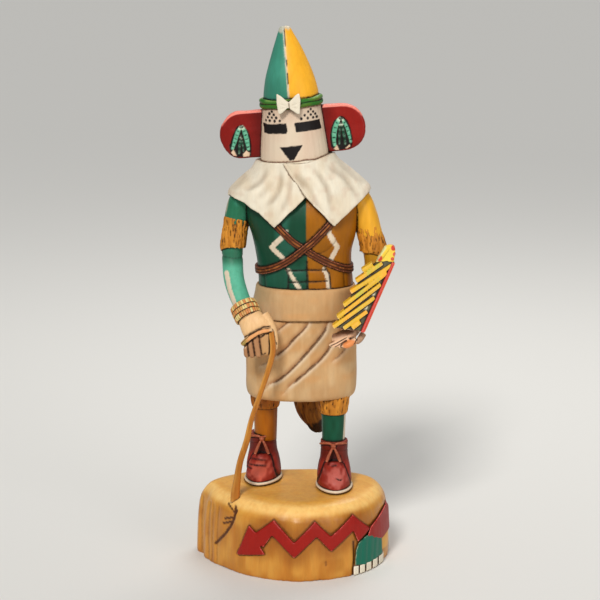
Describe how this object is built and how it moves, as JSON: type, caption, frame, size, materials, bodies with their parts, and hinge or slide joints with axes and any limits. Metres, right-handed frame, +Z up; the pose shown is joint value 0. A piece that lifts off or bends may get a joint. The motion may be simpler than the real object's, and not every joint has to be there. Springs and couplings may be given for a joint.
{
  "type": "carved doll on plinth",
  "caption": "Carved and painted wooden dancer with a pointed cap, plate ears, cloth collar, kilt, whip and slatted bundle, standing on a root-wood plinth with relief.",
  "frame": {"origin": "on the plinth's flat underside, near the middle of it", "axes": "+Z up, the figure faces -Y, +X to the right of someone who faces it"},
  "size_m": [0.1128, 0.0914, 0.3054],
  "materials": {
    "root_wood": "satin varnish",
    "painted_wood": "satin paint",
    "red_paint": "satin paint",
    "cream_paint": "matt paint",
    "whip_wood": "satin stain",
    "yellow_paint": "satin paint"
  },
  "bodies": {
    "root": {"plinth": "root_wood", "figure": "painted_wood", "ear_near": "red_paint", "ear_far": "red_paint", "bow": "cream_paint", "whip": "whip_wood", "bundle": "yellow_paint"}
  },
  "joints": []
}
